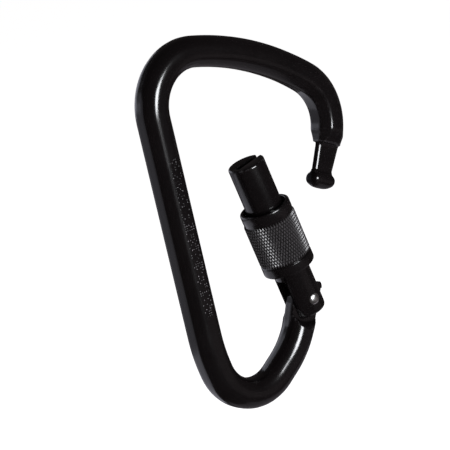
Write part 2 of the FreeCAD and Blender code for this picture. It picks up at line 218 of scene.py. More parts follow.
def make_edge_wear_and_glint():
    """Where the anodising has rubbed thin: on the sharp edges that the mesh's attribute edge
    marks. It is patchy at evenness 0, and the same all along at 1. On the knurl's tooth tops
    the lighter grey is partly rubbing and partly a painted glint."""
    tree, given, out = new_group(
        "edge_wear_and_glint", [("Vector", None), ("Amount", 0.5), ("Evenness", 0.0)], ["Mask"])
    edge = tree.nodes.new("ShaderNodeAttribute")
    edge.attribute_name = "edge"
    broken = noise_node(tree, given.outputs["Vector"], 900.0, detail=5.0, roughness=0.65)
    broken = ramp_between(tree, broken, low=0.47, high=0.68)
    patches = math_node(tree, "MAXIMUM", broken, given.outputs["Evenness"])
    rubbed = math_node(tree, "MULTIPLY", edge.outputs["Fac"], patches)
    mask = math_node(tree, "MULTIPLY", rubbed, given.outputs["Amount"], clamp=True)
    tree.links.new(mask, out.inputs["Mask"])
    return tree


# The two ways that handling scratches lie: how their noise is turned, in radians, and stretched.
SCRATCH_LAYS = [
    ((0.3, 0.9, 0.2), (2600.0, 90.0, 2600.0)),
    ((1.2, 0.1, 0.7), (90.0, 2400.0, 2400.0)),
]


def make_handling_marks():
    """Short fine scratches in two lays, from clipping and racking."""
    tree, given, out = new_group("handling_marks", [("Vector", None), ("Amount", 0.5)], ["Mask"])
    layers = []
    for turn, stretch in SCRATCH_LAYS:
        lay = tree.nodes.new("ShaderNodeMapping")
        lay.inputs["Rotation"].default_value = turn
        lay.inputs["Scale"].default_value = stretch
        tree.links.new(given.outputs["Vector"], lay.inputs["Vector"])
        streaks = noise_node(tree, lay.outputs["Vector"], 1.0, detail=1.0)
        layers.append(ramp_between(tree, streaks, low=0.71, high=0.78))
    both = math_node(tree, "MAXIMUM", *layers)
    mask = math_node(tree, "MULTIPLY", both, given.outputs["Amount"])
    tree.links.new(mask, out.inputs["Mask"])
    return tree


def make_turned_rings():
    """The faint rings that a lathe tool leaves, along the axis Z of the vector."""
    tree, given, out = new_group(
        "turned_rings", [("Vector", None), ("Ring Scale", 7000.0)], ["Height"])
    parts = tree.nodes.new("ShaderNodeSeparateXYZ")
    along = tree.nodes.new("ShaderNodeCombineXYZ")
    tree.links.new(given.outputs["Vector"], parts.inputs[0])
    tree.links.new(parts.outputs["Z"], along.inputs["Z"])
    rings = noise_node(tree, along.outputs[0], given.outputs["Ring Scale"], detail=3.0,
                       roughness=0.6)
    tree.links.new(rings, out.inputs["Height"])
    return tree


satin_grain = make_satin_grain()
edge_wear_and_glint = make_edge_wear_and_glint()
handling_marks = make_handling_marks()
turned_rings = make_turned_rings()


# ------------------------------------------------------------------ finishes

class Finish:
    """One material: a Principled shader with helpers to place the shared effects on it.
    Lean turns the patterns to a leaning piece's own axis."""

    def __init__(self, name, lean=None, metallic=0.0, ior=1.5):
        self.material = bpy.data.materials.new(name)
        self.material.use_nodes = True
        self.tree = self.material.node_tree
        self.shader = self.tree.nodes["Principled BSDF"]
        self.shader.inputs["Metallic"].default_value = metallic
        self.shader.inputs["IOR"].default_value = ior
        place = self.tree.nodes.new("ShaderNodeTexCoord")
        self.vector = place.outputs["Object"]
        if lean is not None:
            turn = self.tree.nodes.new("ShaderNodeMapping")
            turn.inputs["Rotation"].default_value = lean
            self.tree.links.new(self.vector, turn.inputs["Vector"])
            self.vector = turn.outputs["Vector"]

    def effect(self, group, **settings):
        node = self.tree.nodes.new("ShaderNodeGroup")
        node.node_tree = group
        self.tree.links.new(self.vector, node.inputs["Vector"])
        for label, value in settings.items():
            node.inputs[label.replace("_", " ")].default_value = value
        return node.outputs

    def mix_colour(self, factor, one, other):
        node = self.tree.nodes.new("ShaderNodeMix")
        node.data_type = "RGBA"
        self.tree.links.new(factor, node.inputs["Factor"])
        for socket, value in ((node.inputs["A"], one), (node.inputs["B"], other)):
            if isinstance(value, tuple):
                socket.default_value = (*value, 1.0)
            else:
                self.tree.links.new(value, socket)
        return node.outputs["Result"]

    def colour(self, value):
        self.tree.links.new(value, self.shader.inputs["Base Color"])

    def roughness(self, factor, smooth, rough):
        node = self.tree.nodes.new("ShaderNodeMapRange")
        self.tree.links.new(factor, node.inputs["Value"])
        node.inputs["To Min"].default_value = smooth
        node.inputs["To Max"].default_value = rough
        self.tree.links.new(node.outputs["Result"], self.shader.inputs["Roughness"])

    def metallic(self, factor):
        self.tree.links.new(factor, self.shader.inputs["Metallic"])

    def bump(self, height, distance):
        """Adds a bump of this height in millimetres on top of any that is there."""
        node = self.tree.nodes.new("ShaderNodeBump")
        node.inputs["Distance"].default_value = distance * MM
        node.inputs["Strength"].default_value = 1.0
        self.tree.links.new(height, node.inputs["Height"])
        before = self.shader.inputs["Normal"]
        if before.is_linked:
            self.tree.links.new(before.links[0].from_socket, node.inputs["Normal"])
        self.tree.links.new(node.outputs["Normal"], before)


BLACK = (0.0015, 0.0011, 0.0012)
BLACK_CLOUD = (0.0030, 0.0023, 0.0025)
SCUFFED = (0.020, 0.019, 0.019)
# The grey of rubbed anodising; on the knurl's tooth tops it is partly a painted glint.
RUBBED_AND_GLINT = (0.19, 0.175, 0.185)
GATE_ANGLE = 12.2                           # degrees that the open gate leans in to the spine
GATE_LEAN = (0.0, math.radians(GATE_ANGLE), 0.0)
RIVET_LEAN = (math.radians(90), 0, 0)


def anodised(name, wear, smooth, rough, lean=None, rings=0.0, marks=0.2, evenness=0.0, ior=1.5):
    """Black anodised aluminium: dark and glossy over a fine grain, thin and grey where an edge
    has rubbed. Smooth and rough are the ends of its roughness. Rings is the height of its turning
    rings in millimetres."""
    finish = Finish(name, lean=lean, ior=ior)
    surface = finish.effect(satin_grain)
    # Rubbed edges; on the knurl's tooth tops this mask also paints a glint.
    worn_and_glint_mask = finish.effect(edge_wear_and_glint, Amount=wear, Evenness=evenness)["Mask"]
    scratched = finish.effect(handling_marks, Amount=marks)["Mask"]
    clouded = finish.mix_colour(surface["Cloud"], BLACK, BLACK_CLOUD)
    scuffed = finish.mix_colour(scratched, clouded, SCUFFED)
    finish.colour(finish.mix_colour(worn_and_glint_mask, scuffed, RUBBED_AND_GLINT))
    finish.metallic(worn_and_glint_mask)
    finish.roughness(math_node(finish.tree, "ADD", surface["Cloud"], scratched), smooth, rough)
    finish.bump(surface["Height"], distance=0.0005)
    if rings:
        finish.bump(finish.effect(turned_rings)["Height"], distance=rings)
    return finish.material


def steel(name, colour, tint, lean=None, smooth=0.18, rough=0.34, rings=0.0):
    """Bare steel: bright, a little uneven, with faint turning rings where it was turned."""
    finish = Finish(name, lean=lean, metallic=1.0)
    surface = finish.effect(satin_grain, Grain_Scale=6000.0, Cloud_Scale=700.0)
    scratched = finish.effect(handling_marks, Amount=0.6)["Mask"]
    finish.colour(finish.mix_colour(surface["Cloud"], colour, tint))
    finish.roughness(math_node(finish.tree, "ADD", surface["Cloud"], scratched), smooth, rough)
    finish.bump(surface["Height"], distance=0.003)
    if rings:
        finish.bump(finish.effect(turned_rings, Ring_Scale=5000.0)["Height"], distance=rings)
    return finish.material


bar_finish = anodised("anodised_bar", wear=0.15, smooth=0.15, rough=0.21)
# Duller, less reflecting anodising: a painted shade on the inner side of the neck and bulb.
notch_shade_finish = anodised("anodised_notch_painted_shade", wear=0.0, smooth=0.24, rough=0.32, ior=1.14)
barrel_finish = anodised("anodised_barrel", wear=0.25, smooth=0.13, rough=0.20, lean=GATE_LEAN,
                         rings=0.0008)
sleeve_finish = anodised("anodised_sleeve", wear=0.0, smooth=0.17, rough=0.24, lean=GATE_LEAN,
                         marks=0.1)
# Every tooth top is made lighter, evenly all round: partly rubbed anodising, partly a painted glint.
knurl_wear_and_glint_finish = anodised("anodised_knurl_wear_and_glints", wear=0.20, smooth=0.32, rough=0.38, lean=GATE_LEAN,
                        marks=0.0, evenness=1.0)
mark_finish = anodised("peened_marks", wear=0.7, smooth=0.3, rough=0.45)
rivet_finish = steel("rivet_steel", (0.78, 0.77, 0.75), (0.60, 0.59, 0.58), lean=RIVET_LEAN)
plunger_finish = steel("plunger_steel", (0.52, 0.50, 0.47), (0.38, 0.36, 0.34), lean=GATE_LEAN,
                       rings=0.002)
spring_finish = steel("spring_steel", (0.60, 0.59, 0.57), (0.42, 0.41, 0.40), smooth=0.22,
                      rough=0.4)


# ------------------------------------------------------------------ mesh helpers

def mesh_from(name, points, faces):
    """A mesh from points in millimetres."""
    mesh = bpy.data.meshes.new(name)
    mesh.from_pydata([tuple(Vector(point) * MM) for point in points], [], faces)
    mesh.validate()
    return mesh


def face_outwards(mesh):
    """Merges the doubles of a closed shell and turns its faces outwards."""
    shape = bmesh.new()
    shape.from_mesh(mesh)
    bmesh.ops.remove_doubles(shape, verts=shape.verts, dist=1e-7)
    bmesh.ops.recalc_face_normals(shape, faces=shape.faces)
    shape.to_mesh(mesh)
    shape.free()


def write_edge(mesh, values):
    """Writes the attribute edge, one value for each point, held between 0 and 1."""
    attribute = mesh.attributes.new("edge", "FLOAT", "POINT")
    attribute.data.foreach_set("value", [min(max(value, 0.0), 1.0) for value in values])


def note_edges(mesh, soft=0.35, sharp=1.4):
    """Writes the attribute edge: 0 on flats and broad curves, 1 where the surface turns sharply
    outwards. Soft and sharp are the turns, in radians per millimetre, for 0 and 1."""
    shape = bmesh.new()
    shape.from_mesh(mesh)
    turning = [0.0] * len(shape.verts)
    for edge in shape.edges:
        if len(edge.link_faces) != 2:
            continue
        one, other = edge.link_faces
        apart = one.calc_center_median() - other.calc_center_median()
        across = max(apart.length / MM, 0.02)
        bend = edge.calc_face_angle_signed(0.0) / across
        for vert in edge.verts:
            turning[vert.index] = max(turning[vert.index], bend)
    shape.free()
    write_edge(mesh, [(bend - soft) / (sharp - soft) for bend in turning])


def add_piece(name, mesh, finish, body, slot, *nodes):
    """Puts a finished mesh in the scene, rides it on its body and hides the CAD parts that it stands
    for.
    """
    piece = bpy.data.objects.new(name, mesh)
    bpy.context.scene.collection.objects.link(piece)
    mesh.materials.clear()
    mesh.materials.append(finish)
    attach(piece, body)
    if nodes:
        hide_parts(*nodes)


def shade(mesh, sharp_angle):
    """Shades the mesh smooth, but for edges that turn by more than this many degrees."""
    mesh.polygons.foreach_set("use_smooth", [True] * len(mesh.polygons))
    mesh.set_sharp_from_angle(angle=math.radians(sharp_angle))


def turned(name, profile, segments, closed=False):
    """A turned mesh about Z from points of radius and height. A closed profile is a ring, with
    no points on the axis."""
    points, faces, rows = [], [], []
    for radius, height in profile:
        if radius < 1e-9:
            rows.append([len(points)] * segments)
            points.append((0, 0, height))
            continue
        rows.append(list(range(len(points), len(points) + segments)))
        for step in range(segments):
            angle = 2 * math.pi * step / segments
            points.append((radius * math.cos(angle), radius * math.sin(angle), height))
    pairs = list(zip(rows, rows[1:])) + ([(rows[-1], rows[0])] if closed else [])
    for low, high in pairs:
        for step in range(segments):
            after = (step + 1) % segments
            corners = [low[step], low[after], high[after], high[step]]
            faces.append(list(dict.fromkeys(corners)))
    mesh = mesh_from(name, points, faces)
    face_outwards(mesh)
    return mesh


def rounded_profile(corners, steps=5):
    """Rounds the corners of a profile. Each corner is (radius, height, rounding)."""
    profile = []
    for index, (radius, height, rounding) in enumerate(corners):
        here = Vector((radius, height))
        if not rounding:
            profile.append(tuple(here))
            continue
        before = Vector(corners[index - 1][:2])
        after = Vector(corners[(index + 1) % len(corners)][:2])
        start = here + (before - here).normalized() * rounding
        end = here + (after - here).normalized() * rounding
        for step in range(steps + 1):
            t = step / steps
            profile.append(tuple(start * (1 - t) ** 2 + here * 2 * t * (1 - t) + end * t ** 2))
    return profile


def plain_copy(obj):
    """The object's shape with its modifiers worked in, as a mesh of its own. The object is
    removed."""
    shown = obj.evaluated_get(bpy.context.evaluated_depsgraph_get())
    mesh = bpy.data.meshes.new_from_object(shown)
    old = obj.data
    bpy.data.objects.remove(obj)
    if old.users == 0:
        bpy.data.meshes.remove(old)
    return mesh


def joined(name, *meshes):
    """One mesh from several, each on its own shell."""
    shape = bmesh.new()
    for mesh in meshes:
        shape.from_mesh(mesh)
    whole = bpy.data.meshes.new(name)
    shape.to_mesh(whole)
    shape.free()
    return whole


# ------------------------------------------------------------------ geometry node trees

class Rule:
    """A geometry node tree with named float, integer or material inputs."""

    KINDS = {float: "NodeSocketFloat", int: "NodeSocketInt"}

    def __init__(self, name, **inputs):
        self.tree = bpy.data.node_groups.new(name, "GeometryNodeTree")
        self.sockets = {}
        for label, default in inputs.items():
            kind = self.KINDS.get(type(default), "NodeSocketMaterial")
            socket = self.tree.interface.new_socket(label, in_out="INPUT", socket_type=kind)
            socket.default_value = default
            self.sockets[label] = socket.identifier
        self.tree.interface.new_socket(
            "Geometry", in_out="OUTPUT", socket_type="NodeSocketGeometry")
        self.given = self.tree.nodes.new("NodeGroupInput").outputs
        self.out = self.tree.nodes.new("NodeGroupOutput")

    def node(self, kind, **values):
        """A new node. Each value goes to the node's property or input of that name."""
        node = self.tree.nodes.new(kind)
        for label, value in values.items():
            if hasattr(node, label):
                setattr(node, label, value)
                continue
            self.feed(node.inputs[label.replace("_", " ")], value)
        return node

    def feed(self, socket, value):
        if isinstance(value, bpy.types.NodeSocket):
            self.tree.links.new(value, socket)
        else:
            socket.default_value = value

    def maths(self, operation, one, other=0.0):
        node = self.tree.nodes.new("ShaderNodeMath")
        node.operation = operation
        self.feed(node.inputs[0], one)
        self.feed(node.inputs[1], other)
        return node.outputs[0]

    def vector(self, x=0.0, y=0.0, z=0.0):
        node = self.tree.nodes.new("ShaderNodeCombineXYZ")
        for socket, value in zip(node.inputs, (x, y, z)):
            self.feed(socket, value)
        return node.outputs[0]

    def finish(self, instances, material, smooth):
        """Ends the tree: instances made real, shaded flat or smooth, and given their material."""
        real = self.node("GeometryNodeRealizeInstances", Geometry=instances)
        shaded = self.node("GeometryNodeSetShadeSmooth", Geometry=real.outputs[0],
                           Shade_Smooth=smooth)
        dressed = self.node("GeometryNodeSetMaterial", Geometry=shaded.outputs[0],
                            Material=material)
        self.tree.links.new(dressed.outputs[0], self.out.inputs[0])

    def grow(self, name, **values):
        """The mesh that the tree makes for these values."""
        obj = bpy.data.objects.new(name, bpy.data.meshes.new(name))
        bpy.context.scene.collection.objects.link(obj)
        modifier = obj.modifiers.new(name, "NODES")
        modifier.node_group = self.tree
        for label, value in values.items():
            modifier[self.sockets[label]] = value
        return plain_copy(obj)


def make_knurl_rule():
    """Diamond teeth in staggered rows round a cylinder about Z. Sizes are in metres."""
    rule = Rule("diamond_knurl", Radius=0.008, Start=0.0, Row_Step=0.001, Around=56, Rows=15,
                Tooth_Height=0.0003, Flat_Share=0.3, Material=None)
    given = rule.given
    count = rule.maths("MULTIPLY", given["Around"], given["Rows"])
    line = rule.node("GeometryNodeMeshLine", Count=count)
    index = rule.node("GeometryNodeInputIndex").outputs[0]
    row = rule.maths("DIVIDE", rule.maths("ADD", index, 0.5), given["Around"])
    row = rule.maths("FLOOR", row)
    stagger = rule.maths("MULTIPLY", rule.maths("MODULO", row, 2.0), 0.5)
    step = rule.maths("DIVIDE", 2 * math.pi, given["Around"])
    angle = rule.maths("MULTIPLY", rule.maths("ADD", index, stagger), step)
    across = rule.maths("MULTIPLY", given["Radius"], rule.maths("COSINE", angle))
    deep = rule.maths("MULTIPLY", given["Radius"], rule.maths("SINE", angle))
    high = rule.maths("ADD", given["Start"], rule.maths("MULTIPLY", row, given["Row_Step"]))
    points = rule.node("GeometryNodeSetPosition", Geometry=line.outputs[0],
                       Position=rule.vector(across, deep, high))
    cone = rule.node("GeometryNodeMeshCone", Vertices=4, Radius_Top=given["Flat_Share"],
                     Radius_Bottom=1.0, Depth=1.0)
    half_width = rule.maths("MULTIPLY", rule.maths("MULTIPLY", given["Radius"], step), 0.5)
    shape = rule.vector(given["Row_Step"], half_width, given["Tooth_Height"])
    sized = rule.node("GeometryNodeTransform", Geometry=cone.outputs[0], Scale=shape)
    tooth = rule.node("GeometryNodeTransform", Geometry=sized.outputs[0],
                      Rotation=(0.0, math.pi / 2, 0.0))
    teeth = rule.node("GeometryNodeInstanceOnPoints", Points=points.outputs[0],
                      Instance=tooth.outputs[0], Rotation=rule.vector(0.0, 0.0, angle))
    rule.finish(teeth.outputs[0], given["Material"], False)
    return rule


def make_helix_rule():
    """A round ridge or wire wound about Z, whose ends thin out over a share of its length.
    Sizes are in metres."""
    rule = Rule("helix", Radius=0.005, Start=0.0, Height=0.02, Turns=10.0, Wire_Radius=0.0005,
                Thin_Share=0.05, Material=None)
    given = rule.given
    spiral = rule.node("GeometryNodeCurveSpiral", Resolution=48, Rotations=given["Turns"],
                       Start_Radius=given["Radius"], End_Radius=given["Radius"],
                       Height=given["Height"])
    along = rule.node("GeometryNodeSplineParameter").outputs["Factor"]
    from_end = rule.maths("MINIMUM", along, rule.maths("SUBTRACT", 1.0, along))
    share = rule.maths("DIVIDE", rule.maths("ADD", from_end, 0.0005), given["Thin_Share"])
    thinned = rule.node("GeometryNodeSetCurveRadius", Curve=spiral.outputs[0],
                        Radius=rule.maths("MINIMUM", share, 1.0))
    circle = rule.node("GeometryNodeCurvePrimitiveCircle", Resolution=14,
                       Radius=given["Wire_Radius"])
    wound = rule.node("GeometryNodeCurveToMesh", Curve=thinned.outputs[0],
                      Profile_Curve=circle.outputs[0], Fill_Caps=True)
    placed = rule.node("GeometryNodeTransform", Geometry=wound.outputs[0],
                       Translation=rule.vector(0.0, 0.0, given["Start"]))
    rule.finish(placed.outputs[0], given["Material"], True)
    return rule


def make_marks_rule():
    """Groups of peened dots on a strip along X. A fixed seed picks the dots that are kept.
    Sizes are in metres."""
    rule = Rule("peened_strip", Columns=66, Lines=5, Pitch=0.00075, Dot_Radius=0.00021,
                Dot_Height=0.00004, Group_Columns=3.0, Gap_Columns=1.0, Kept=0.36, Seed=7,
                Material=None)
    given = rule.given
    count = rule.maths("MULTIPLY", given["Columns"], given["Lines"])
    line = rule.node("GeometryNodeMeshLine", Count=count)
    index = rule.node("GeometryNodeInputIndex").outputs[0]
    column = rule.maths("DIVIDE", rule.maths("ADD", index, 0.5), given["Lines"])
    column = rule.maths("FLOOR", column)
    place = rule.maths("SUBTRACT", index, rule.maths("MULTIPLY", column, given["Lines"]))
    points = rule.node("GeometryNodeSetPosition", Geometry=line.outputs[0],
                       Position=rule.vector(rule.maths("MULTIPLY", column, given["Pitch"]),
                                            rule.maths("MULTIPLY", place, given["Pitch"])))
    group = rule.maths("ADD", given["Group_Columns"], given["Gap_Columns"])
    in_group = rule.maths("MODULO", column, group)
    in_gap = rule.maths("GREATER_THAN", in_group, given["Group_Columns"])
    chance = rule.node("FunctionNodeRandomValue", data_type="FLOAT")
    rule.feed(chance.inputs["Seed"], given["Seed"])
    unused = rule.maths("GREATER_THAN", chance.outputs[1], given["Kept"])
    dropped = rule.maths("MAXIMUM", in_gap, unused)
    left = rule.node("GeometryNodeDeleteGeometry", Geometry=points.outputs[0],
                     Selection=dropped)
    cone = rule.node("GeometryNodeMeshCone", Vertices=10, Radius_Top=0.55, Radius_Bottom=1.0,
                     Depth=1.0)
    size = rule.vector(given["Dot_Radius"], given["Dot_Radius"], given["Dot_Height"])
    dot = rule.node("GeometryNodeTransform", Geometry=cone.outputs[0], Scale=size)
    dots = rule.node("GeometryNodeInstanceOnPoints", Points=left.outputs[0],
                     Instance=dot.outputs[0])
    rule.finish(dots.outputs[0], given["Material"], False)
    return rule


# ------------------------------------------------------------------ the bar's path

NOSE_HEADING = 62.7                         # degrees, at the nose end of the bar
HINGE = middle_of_box("hinge_rivet")
ROPE_BEND_CENTRE = Vector((0.0, -11.5))
ROPE_BEND = 2                               # its place in BENDS
# The runs of the bar's centreline from the nose: a bend's radius and its angle in degrees, or
# None and a straight run's length.
BENDS = [(16.45, 78.1), (93.5, 27.3), (16.3, 101.9), (None, 67.35), (53.5, 13.1),
         (14.6, 109.6), (None, 4.3), (27.783, 30.0)]


def walk(point, heading):
    """The bar's centreline from the nose over the top, down the spine and up to the hinge.
    Each span is its start, heading, centre, radius and length. The last one runs on straight."""
    spans = []
    for radius, amount in BENDS:
        ahead = Vector((math.cos(heading), math.sin(heading)))
        centre = None
        length = amount
        if radius is not None:
            centre = point + Vector((-ahead.y, ahead.x)) * radius
            length = radius * math.radians(amount)
        spans.append((point, heading, centre, radius, length))
        if radius is None:
            point = point + ahead * amount
        else:
            heading += math.radians(amount)
            point = centre + Vector((math.sin(heading), -math.cos(heading))) * radius
    spans.append((point, heading, None, None, 0.0))
    return spans


def centred_path():
    """The spans of the centreline, placed so that the rope bend turns about its centre."""
    nose = math.radians(NOSE_HEADING)
    _, _, centre, _, _ = walk(Vector((0, 0)), nose)[ROPE_BEND]
    return walk(ROPE_BEND_CENTRE - centre, nose)


PATH = centred_path()
BAR_LENGTH = sum(span[-1] for span in PATH)
LAST_STRAIGHT = (Vector((HINGE.x, HINGE.z)) - PATH[-1][0]).length
HINGE_DISTANCE = BAR_LENGTH + LAST_STRAIGHT


def on_bar(distance):
    """The centreline's point and heading at a distance from the nose end of the bar. Below 0
    it runs on down the nose."""
    for start, heading, centre, radius, length in PATH:
        if distance <= length or length == 0.0:
            break
        distance -= length
    if centre is None or distance < 0:
        return start + Vector((math.cos(heading), math.sin(heading))) * distance, heading
    heading += distance / radius
    return centre + Vector((math.sin(heading), -math.cos(heading))) * radius, heading


# ------------------------------------------------------------------ frame

BAR_HALF = 4.79
BAR_FRONT = 5.0
BAR_BEVEL = 2.6
CORNER_SHARE = 0.49                         # the most of a side that a corner's softening takes
CORNER_STEPS = 4
FLAT_STEPS = 4


def part_way(corner, neighbour, soft):
    """Where a corner's softening ends, on the side towards its neighbour."""
    side = neighbour - corner
    return corner + side.normalized() * min(soft, CORNER_SHARE * side.length)


def section(inner, outer, front, bevel, soft):
    """Points of a softened eight-sided section: X runs outward and Y to the back."""
    bevel = min(bevel, 0.45 * (inner + outer), 0.9 * front)
    corners = [Vector(corner) for corner in (
        (outer, -(front - bevel)), (outer - bevel, -front),
        (-(inner - bevel), -front), (-inner, -(front - bevel)),
        (-inner, front - bevel), (-(inner - bevel), front),
        (outer - bevel, front), (outer, front - bevel))]
    points = []
    for index, here in enumerate(corners):
        before, after = corners[index - 1], corners[(index + 1) % 8]
        start = part_way(here, before, soft)
        end = part_way(here, after, soft)
        next_start = part_way(after, here, soft)
        for step in range(CORNER_STEPS + 1):
            t = step / CORNER_STEPS
            points.append(start * (1 - t) ** 2 + here * 2 * t * (1 - t) + end * t ** 2)
        for step in range(1, FLAT_STEPS + 1):
            points.append(end.lerp(next_start, step / (FLAT_STEPS + 1)))
    return points


def between(table, place):
    """A row of the table, mixed straight between the two rows around a place."""
    if place <= table[0][0]:
        return table[0][1:]
    for low, high in zip(table, table[1:]):
        if place <= high[0]:
            t = (place - low[0]) / (high[0] - low[0])
            return tuple(a + (b - a) * t for a, b in zip(low[1:], high[1:]))
    return table[-1][1:]


# Down the nose from the bar's end: place, inner and outer reach, half thickness, bevel, softness.
NOSE_TABLE = [
    (-2.0, 4.79, 4.79, 5.00, 2.60, 0.70), (-1.3, 4.78, 4.95, 4.80, 2.55, 0.60),
    (-0.4, 4.58, 5.10, 4.45, 2.30, 0.45), (1.9, 3.98, 5.00, 3.10, 1.55, 0.40),
    (2.3, 3.90, 5.02, 2.75, 1.20, 0.35), (2.45, 3.87, 5.08, 2.20, 1.10, 0.35),
    (2.6, 3.85, 5.20, 1.50, 1.00, 0.60), (2.8, 3.83, 5.30, 1.30, 0.95, 0.60),
    (3.3, 3.82, 5.28, 1.15, 0.95, 0.75), (11.0, 3.82, 4.25, 1.15, 0.95, 0.75),
    (11.4, 3.82, 4.22, 1.20, 0.95, 0.75),
]
BULB_MIDDLE, BULB_REACH = 14.03, 2.77
BULB_INNER, BULB_OUTER, BULB_FRONT = 4.40, 4.85, 2.82
BULB_BEVEL, BULB_BEVEL_SHARE, BULB_SOFTNESS = 1.1, 0.6, 0.9
# The notch's faces with painted shade: from its top to past its foot, and this far to the inner side.
NOTCH_TOP, NOTCH_FOOT, NOTCH_SIDE, NOTCH_REACH = 2.5, 18.0, 3.45, 6.9


def rounded_share(t, power):
    """How wide a bulge still is at t, from 1 in its middle to 0 at its ends. Power 2 is round."""
    return max(1 - abs(t) ** power, 0.0) ** (1 / power)


def nose_section(down):
    """The section so far down the nose from the bar's end: taper, thin neck and round bulb."""
    inner, outer, front, bevel, soft = between(NOSE_TABLE, down)
    t = (down - BULB_MIDDLE) / BULB_REACH
    if t <= -1:
        return inner, outer, front, bevel, soft
    thick, wide = rounded_share(t, 2.0), rounded_share(t, 2.6)
    if t > 0:
        inner, outer, front = BULB_INNER * wide, BULB_OUTER * wide, BULB_FRONT * thick
    else:
        inner = max(inner, BULB_INNER * wide)
        outer = max(outer, BULB_OUTER * wide)
        front = max(front, BULB_FRONT * thick)
    return inner, outer, front, min(BULB_BEVEL, BULB_BEVEL_SHARE * front), BULB_SOFTNESS


TANG_HALF, TANG_SOFTNESS = 2.0, 1.6
# The step down to the tang round the hinge: where it ends and starts, its slope and its blend.
STEP_RADIUS, STEP_RIM = 7.5, 9.4
STEP_SLOPE = (BAR_FRONT - TANG_HALF) / (STEP_RIM - STEP_RADIUS)
STEP_BLEND = 0.35
# Past the hinge end of the bar, by distance on from the hinge: inner and outer reach.
TANG_TABLE = [
    (-10.4, 4.80, 4.80), (-2.26, 5.12, 5.19), (-0.6, 5.45, 5.30), (0.6, 5.33, 5.38),
    (1.71, 4.95, 5.40), (2.6, 4.30, 5.40), (3.2, 3.55, 5.40), (3.6, 2.75, 5.40),
    (3.8, 1.60, 5.40), (3.86, 1.0, 5.40), (3.9, -2.55, 5.46), (4.2, -2.95, 5.48),
    (4.5, -3.08, 5.44), (4.9, -3.25, 5.30), (5.3, -3.50, 5.08), (5.6, -3.80, 4.82),
    (5.78, -4.10, 4.58), (5.85, -4.30, 4.45),
]
HORN_TIP = TANG_TABLE[-1][0]

# How soft the corners of the bar's section are, by distance from the nose.
SOFTNESS_TABLE = [(2.0, 0.7), (16.0, 0.8), (32.0, 1.7), (70.0, 1.8), (100.0, 1.3), (165.0, 1.2),
                  (185.0, 1.8)]

# Where the sections along the frame change their spacing, and the spacings.
BULB_ROWS, NOSE_STEP = 12, 0.16
BULB_FIRST_ROW = 0.35                       # how far, in rows, the first one is off the bulb's tip
BAR_START, BAR_STEP = 2.0, 0.8
TANG_START, TANG_STEP = -15.0, 0.2
HORN_START, HORN_STEP = 3.0, 0.1


def soft_minimum(one, other, blend):
    """The lesser of two values, rounded off where they are nearer than blend."""
    mix = max(blend - abs(one - other), 0.0) / blend
    return min(one, other) - mix * mix * blend / 4


def bar_ring(distance, widths):
    """The points in space of one section of the bar, cut back round the hinge to the tang."""
    point, heading = on_bar(distance)
    outward = Vector((math.sin(heading), -math.cos(heading)))
    ring = []
    for flat in section(*widths):
        place = point + outward * flat.x
        from_hinge = (place - Vector((HINGE.x, HINGE.z))).length
        room = TANG_HALF + max(from_hinge - STEP_RADIUS, 0.0) * STEP_SLOPE
        depth = flat.y
        if abs(depth) > 1e-6:
            depth = math.copysign(soft_minimum(abs(depth), room, STEP_BLEND), depth)
        ring.append(Vector((place.x, depth, place.y)))
    return ring


def steps_between(start, end, step):
    """Even places from start up to, but not at, end, about a step apart."""
    count = max(1, round((end - start) / step))
    return [start + (end - start) * index / count for index in range(count)]


def frame_stations():
    """Distances from the bar's end, negative down the nose, with the widths of the bar at each."""
    stations = []
    for index in range(BULB_ROWS):
        down = BULB_MIDDLE + BULB_REACH * math.cos(math.pi / 2 * (index + BULB_FIRST_ROW) / BULB_ROWS)
        stations.append((-down, nose_section(down)))
    for down in reversed(steps_between(-BAR_START, BULB_MIDDLE, NOSE_STEP)):
        stations.append((-down, nose_section(down)))
    for distance in steps_between(BAR_START, HINGE_DISTANCE + TANG_START, BAR_STEP):
        softness = between(SOFTNESS_TABLE, distance)
        stations.append((distance, (BAR_HALF, BAR_HALF, BAR_FRONT, BAR_BEVEL, *softness)))
    tang = steps_between(TANG_START, HORN_START, TANG_STEP)
    horn = steps_between(HORN_START, HORN_TIP, HORN_STEP) + [HORN_TIP]
    for along in tang + horn:
        widths = (*between(TANG_TABLE, along), BAR_FRONT, BAR_BEVEL, TANG_SOFTNESS)
        stations.append((HINGE_DISTANCE + along, widths))
    return stations


def lofted(name, rings):
    """A closed mesh through rings of equal count, with a point in the middle of each end."""
    count = len(rings[0])
    points = [point for ring in rings for point in ring]
    faces = []
    for row in range(len(rings) - 1):
        here, ahead = row * count, (row + 1) * count
        for index in range(count):
            after = (index + 1) % count
            faces.append([here + index, here + after, ahead + after, ahead + index])
    for row in (0, len(rings) - 1):
        here, middle = row * count, len(points)
        points.append(sum(rings[row], Vector()) / count)
        faces += [[here + index, here + (index + 1) % count, middle] for index in range(count)]
    mesh = mesh_from(name, points, faces)
    face_outwards(mesh)
    return mesh


def paint_notch_shade(mesh):
    """Gives the inner side of the neck and bulb a painted shade: a duller, less reflecting
    anodising that makes those faces darker.
    """
    end, heading = on_bar(0.0)
    along = Vector((math.cos(heading), math.sin(heading)))
    inward = Vector((-along.y, along.x))
    mesh.materials.append(notch_shade_finish)
    for face in mesh.polygons:
        place = Vector((face.center.x, face.center.z)) / MM - end
        down, side = -place.dot(along), place.dot(inward)
        if NOTCH_TOP < down < NOTCH_FOOT and NOTCH_SIDE < side < NOTCH_REACH:
            face.material_index = 1


def make_frame_bar():
    """The forged bar with its nose and its hinge tang, as one loft."""
    mesh = lofted("frame_bar", [bar_ring(*station) for station in frame_stations()])
    shade(mesh, sharp_angle=50)
    note_edges(mesh)
    add_piece("frame_bar", mesh, bar_finish, "frame", "anodised_frame", "frame")
    paint_notch_shade(mesh)


